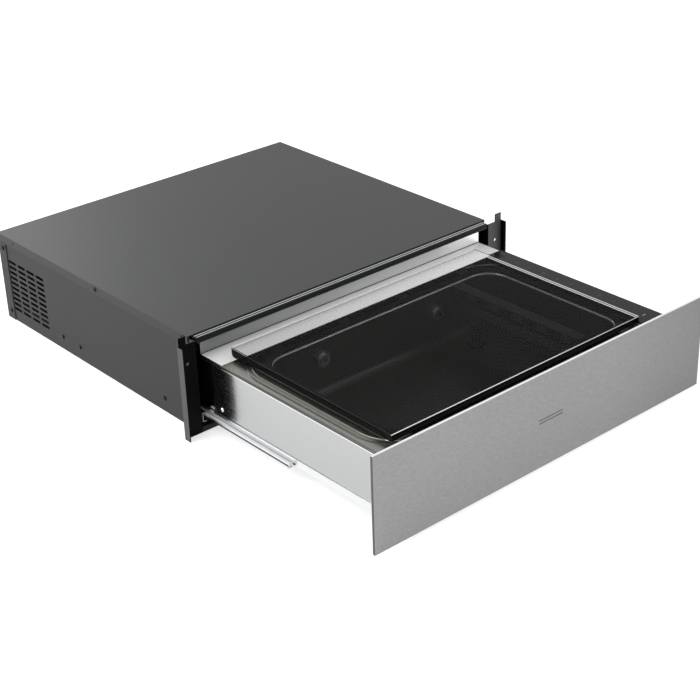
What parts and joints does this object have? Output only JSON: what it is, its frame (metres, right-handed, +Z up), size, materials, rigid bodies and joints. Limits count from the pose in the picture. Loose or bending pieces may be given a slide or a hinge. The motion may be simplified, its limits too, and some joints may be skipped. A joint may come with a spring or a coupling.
{
  "type": "vacuum sealing drawer",
  "caption": "Built-in vacuum sealing drawer, pulled out of its steel casing, with a tinted glass lid over a drawn steel chamber and touch controls beside it.",
  "frame": {"origin": "middle of the casing's underside, on the face it rests on", "axes": "+Z up, -Y towards the front panel, X along the front with the controls on +X"},
  "size_m": [0.594, 0.8747, 0.149],
  "materials": {
    "cover_paint": "fine satin powder coat",
    "casing_paint": "fine satin powder coat",
    "base_steel": "satin",
    "black_steel": "satin black coat",
    "trim_aluminium": "bright anodised",
    "screw_steel": "black zinc",
    "runner_steel": "bright zinc",
    "dark_runner_steel": "dark zinc",
    "panel_stainless": "fine brushed, matt",
    "backing_steel": "satin grey",
    "drawer_stainless": "brushed",
    "deck_stainless": "brushed",
    "chamber_stainless": "drawn, semi-bright",
    "inner_steel": "galvanised",
    "tinted_glass": "dark tinted, clear gloss",
    "black_glass": "black backed, clear gloss",
    "seal_rubber": "matt",
    "silicone": "matt",
    "black_plastic": "fine grain",
    "pale_plastic": "satin",
    "contact_brass": "bright",
    "circuit_board": "solder mask",
    "pump_iron": "cast, lightly machined",
    "motor_paint": "satin enamel",
    "core_steel": "varnished laminations",
    "machined_aluminium": "machined",
    "shaft_steel": "ground",
    "filter_plastic": "satin",
    "hose_rubber": "matt",
    "sealing_tape": "coated glass cloth"
  },
  "bodies": {
    "casing": {"casing_base": "base_steel", "left_casing_side": "casing_paint", "right_casing_side": "casing_paint", "top_cover": "cover_paint", "rear_panel": "casing_paint", "front_trim": "trim_aluminium", "front_sill": "black_steel", "left_bracket": "black_steel", "right_bracket": "black_steel", "casing_screws": "screw_steel", "left_fixed_rail": "runner_steel", "right_fixed_rail": "runner_steel", "latch_housing": "black_plastic", "mains_inlet": "black_plastic", "inlet_contacts": "contact_brass"},
    "plunger": {"latch_plunger": "pale_plastic"},
    "left_middle": {"left_middle_rail": "dark_runner_steel"},
    "right_middle": {"right_middle_rail": "dark_runner_steel"},
    "drawer": {"front_panel": "panel_stainless", "panel_backing": "backing_steel", "drawer_front_wall": "inner_steel", "left_drawer_side": "drawer_stainless", "right_drawer_side": "drawer_stainless", "drawer_floor": "inner_steel", "drawer_rear_wall": "inner_steel", "compartment_cover": "deck_stainless", "top_frame": "deck_stainless", "left_drawer_rail": "runner_steel", "right_drawer_rail": "runner_steel", "vacuum_chamber": "chamber_stainless", "chamber_ports": "machined_aluminium", "touch_glass": "black_glass", "control_board": "circuit_board", "hinge_shaft": "shaft_steel", "hinge_brackets": "inner_steel", "seal_cylinders": "machined_aluminium", "pump_head": "pump_iron", "pump_motor": "motor_paint", "pump_feet": "seal_rubber", "exhaust_filter": "filter_plastic", "suction_hose": "hose_rubber", "vent_valve": "black_plastic", "transformer": "core_steel", "power_board": "circuit_board", "board_posts": "pale_plastic", "fan_frame": "black_plastic", "drawer_catch": "inner_steel", "drawer_rivets": "runner_steel"},
    "fan": {"fan_rotor": "black_plastic"},
    "bar": {"sealing_bar": "machined_aluminium", "sealing_tape": "sealing_tape"},
    "lid": {"glass_lid": "tinted_glass", "lid_seal": "seal_rubber", "counter_bar": "silicone", "counter_bar_carrier": "machined_aluminium", "hinge_rail": "deck_stainless", "rail_end_caps": "black_plastic", "hinge_arms": "inner_steel"}
  },
  "joints": [
    {"name": "drawer_slide", "type": "slide", "parent": "casing", "child": "drawer", "axis": [0, -1, 0], "range_m": [-0.355, 0]},
    {"name": "left_middle_slide", "type": "slide", "parent": "casing", "child": "left_middle", "axis": [0, -1, 0], "range_m": [-0.1775, 0]},
    {"name": "right_middle_slide", "type": "slide", "parent": "casing", "child": "right_middle", "axis": [0, -1, 0], "range_m": [-0.1775, 0]},
    {"name": "lid_hinge", "type": "hinge", "parent": "drawer", "child": "lid", "pos_m": [-0.009, -0.2867, 0.117], "axis": [-1, 0, 0], "range_deg": [0, 75]},
    {"name": "bar_lift", "type": "slide", "parent": "drawer", "child": "bar", "axis": [0, 0, 1], "range_m": [0, 0.01]},
    {"name": "latch_push", "type": "slide", "parent": "casing", "child": "plunger", "axis": [0, -1, 0], "range_m": [-0.005, 0], "stiffness_N_per_m": 400},
    {"name": "fan_spin", "type": "hinge", "parent": "drawer", "child": "fan", "pos_m": [0, -0.1935, 0.0688], "axis": [1, 0, 0], "continuous": true}
  ],
  "couplings": [
    {"joint": "left_middle_slide", "follows": "drawer_slide", "ratio": 0.5},
    {"joint": "right_middle_slide", "follows": "drawer_slide", "ratio": 0.5}
  ]
}
